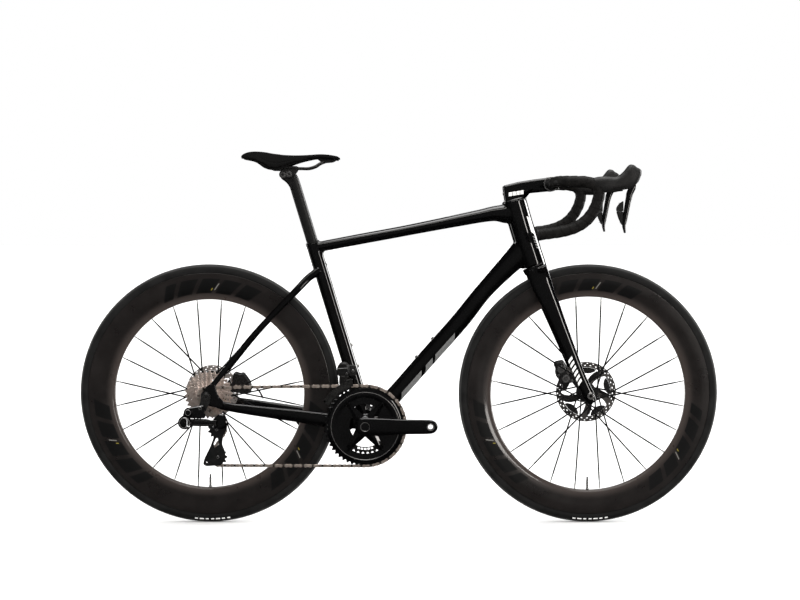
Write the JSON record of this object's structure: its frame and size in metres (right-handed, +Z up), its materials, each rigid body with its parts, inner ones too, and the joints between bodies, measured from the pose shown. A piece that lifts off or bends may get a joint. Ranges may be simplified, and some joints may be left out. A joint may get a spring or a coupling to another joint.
{
  "type": "road bicycle",
  "caption": "Road racing bicycle with drop handlebar, deep aero rims, disc brakes, electronic derailleurs and crankset without pedals.",
  "frame": {"origin": "on the ground, midway between the two axles in the bicycle's mid-plane", "axes": "+X forward, +Y to the rider's left, +Z up"},
  "size_m": [1.677, 0.433, 0.9772],
  "materials": {
    "frame_gloss": "gloss clear coat over black carbon",
    "carbon_matte": "matte black",
    "rim_carbon": "satin carbon",
    "tyre_rubber": "matte",
    "hood_rubber": "fine texture",
    "bar_tape": "wrapped tape",
    "black_alloy": "anodised black",
    "steel": "satin",
    "bronze_steel": "satin, warm",
    "black_steel": "black oxide"
  },
  "bodies": {
    "frame": {"main_frame": "frame_gloss", "rear_triangle": "frame_gloss", "headset_bearing_lower": "steel", "headset_bearing_upper": "steel", "bottom_bracket_cup_right": "black_alloy", "bottom_bracket_cup_left": "black_alloy", "seatpost_wedge": "carbon_matte", "rear_thru_axle": "black_alloy", "derailleur_hanger": "black_alloy", "rear_caliper": "black_alloy", "rear_brake_hose": "hood_rubber", "rear_derailleur_body": "black_alloy", "front_derailleur_body": "black_alloy", "chain": "bronze_steel"},
    "steering": {"fork": "frame_gloss", "front_thru_axle": "black_alloy", "headset_cover": "frame_gloss", "stem": "frame_gloss", "handlebar": "carbon_matte", "bar_tape_right": "bar_tape", "bar_tape_left": "bar_tape", "bar_end_plug_right": "carbon_matte", "bar_end_plug_left": "carbon_matte", "hood_right": "hood_rubber", "hood_left": "hood_rubber", "front_caliper": "black_alloy"},
    "front_wheel": {"front_hub": "black_alloy", "front_spokes": "black_steel", "front_rotor": "steel", "front_rim": "rim_carbon", "front_tyre": "tyre_rubber", "front_valve": "carbon_matte"},
    "rear_wheel": {"rear_hub": "black_alloy", "rear_spokes": "black_steel", "rear_rotor": "steel", "rear_rim": "rim_carbon", "rear_tyre": "tyre_rubber", "rear_valve": "carbon_matte"},
    "cranks": {"crank_arm_right": "black_alloy", "crank_arm_left": "black_alloy", "chainring_outer": "black_alloy", "chainring_inner": "black_alloy"},
    "cassette_body": {"cassette": "bronze_steel"},
    "derailleur_link": {"rear_derailleur_linkage": "black_alloy"},
    "derailleur_knuckle": {"rear_derailleur_knuckle": "black_alloy"},
    "derailleur_cage": {"rear_derailleur_cage": "carbon_matte"},
    "guide_pulley_body": {"guide_pulley": "carbon_matte"},
    "tension_pulley_body": {"tension_pulley": "carbon_matte"},
    "front_cage": {"front_derailleur_cage": "steel"},
    "seatpost_body": {"seatpost": "carbon_matte"},
    "clamp_body": {"saddle_clamp": "black_alloy"},
    "saddle_body": {"saddle": "carbon_matte", "saddle_rails": "steel"},
    "lever_right": {"brake_lever_right": "frame_gloss"},
    "upper_button_right": {"shift_button_upper_right": "carbon_matte"},
    "lower_button_right": {"shift_button_lower_right": "carbon_matte"},
    "lever_left": {"brake_lever_left": "frame_gloss"},
    "upper_button_left": {"shift_button_upper_left": "carbon_matte"},
    "lower_button_left": {"shift_button_lower_left": "carbon_matte"}
  },
  "joints": [
    {"name": "steering", "type": "hinge", "parent": "frame", "child": "steering", "pos_m": [0.4567, 0, 0.3279], "axis": [-0.2924, 0, 0.9563], "range_deg": [-60, 60]},
    {"name": "front_wheel_spin", "type": "hinge", "parent": "steering", "child": "front_wheel", "pos_m": [0.498, 0, 0.3405], "axis": [0, 1, 0], "continuous": true},
    {"name": "rear_wheel_spin", "type": "hinge", "parent": "frame", "child": "rear_wheel", "pos_m": [-0.498, 0, 0.3405], "axis": [0, 1, 0], "continuous": true},
    {"name": "crank_spin", "type": "hinge", "parent": "frame", "child": "cranks", "pos_m": [-0.0877, 0, 0.2606], "axis": [0, 1, 0], "continuous": true, "deforming": ["chain"]},
    {"name": "cassette_spin", "type": "hinge", "parent": "frame", "child": "cassette_body", "pos_m": [-0.498, 0, 0.3405], "axis": [0, 1, 0], "continuous": true},
    {"name": "rear_shift", "type": "slide", "parent": "frame", "child": "derailleur_knuckle", "axis": [0, 1, 0], "range_m": [0, 0.038]},
    {"name": "link_swing", "type": "hinge", "parent": "frame", "child": "derailleur_link", "pos_m": [-0.543, -0.09, 0.2745], "axis": [0, 0, 1], "range_deg": [0, 26.5]},
    {"name": "cage_swing", "type": "hinge", "parent": "derailleur_knuckle", "child": "derailleur_cage", "pos_m": [-0.457, -0.074, 0.271], "axis": [0, 1, 0], "range_deg": [-20, 0], "stiffness_Nm_per_rad": 0.4, "springref_deg": 20.05},
    {"name": "guide_pulley_spin", "type": "hinge", "parent": "derailleur_cage", "child": "guide_pulley_body", "pos_m": [-0.472, -0.0645, 0.254], "axis": [0, 1, 0], "continuous": true},
    {"name": "tension_pulley_spin", "type": "hinge", "parent": "derailleur_cage", "child": "tension_pulley_body", "pos_m": [-0.4698, -0.0645, 0.1823], "axis": [0, 1, 0], "continuous": true},
    {"name": "front_shift", "type": "slide", "parent": "frame", "child": "front_cage", "axis": [0, 1, 0], "range_m": [0, 0.0065]},
    {"name": "seatpost_height", "type": "slide", "parent": "frame", "child": "seatpost_body", "axis": [-0.2897, 0, 0.9571], "range_m": [-0.1, 0.03]},
    {"name": "saddle_tilt", "type": "hinge", "parent": "seatpost_body", "child": "clamp_body", "pos_m": [-0.28086, 0, 0.91482], "axis": [0, 1, 0], "range_deg": [-6, 6]},
    {"name": "saddle_fore_aft", "type": "slide", "parent": "clamp_body", "child": "saddle_body", "axis": [1, 0, 0], "range_m": [-0.02, 0.018]},
    {"name": "brake_lever_pull_right", "type": "hinge", "parent": "steering", "child": "lever_right", "pos_m": [0.588, -0.192, 0.884], "axis": [0, 1, 0], "range_deg": [0, 18], "stiffness_Nm_per_rad": 1.2, "springref_deg": -8.59},
    {"name": "upper_button_press_right", "type": "hinge", "parent": "lever_right", "child": "upper_button_right", "pos_m": [0.562, -0.1935, 0.835], "axis": [0.1701, 0, 0.9854], "range_deg": [-4, 0], "stiffness_Nm_per_rad": 0.15, "springref_deg": 2.86},
    {"name": "lower_button_press_right", "type": "hinge", "parent": "lever_right", "child": "lower_button_right", "pos_m": [0.56, -0.1935, 0.8], "axis": [0.1701, 0, 0.9854], "range_deg": [-4, 0], "stiffness_Nm_per_rad": 0.15, "springref_deg": 2.86},
    {"name": "brake_lever_pull_left", "type": "hinge", "parent": "steering", "child": "lever_left", "pos_m": [0.588, 0.192, 0.884], "axis": [0, 1, 0], "range_deg": [0, 18], "stiffness_Nm_per_rad": 1.2, "springref_deg": -8.59},
    {"name": "upper_button_press_left", "type": "hinge", "parent": "lever_left", "child": "upper_button_left", "pos_m": [0.562, 0.1935, 0.835], "axis": [0.1701, 0, 0.9854], "range_deg": [0, 4], "stiffness_Nm_per_rad": 0.15, "springref_deg": -2.86},
    {"name": "lower_button_press_left", "type": "hinge", "parent": "lever_left", "child": "lower_button_left", "pos_m": [0.56, 0.1935, 0.8], "axis": [0.1701, 0, 0.9854], "range_deg": [0, 4], "stiffness_Nm_per_rad": 0.15, "springref_deg": -2.86}
  ],
  "couplings": [
    {"joint": "cassette_spin", "follows": "crank_spin", "ratio": 4.7273},
    {"joint": "guide_pulley_spin", "follows": "crank_spin", "ratio": -4.7273},
    {"joint": "tension_pulley_spin", "follows": "crank_spin", "ratio": 4.7273},
    {"joint": "link_swing", "follows": "rear_shift", "rad_per_m": 12.125}
  ]
}
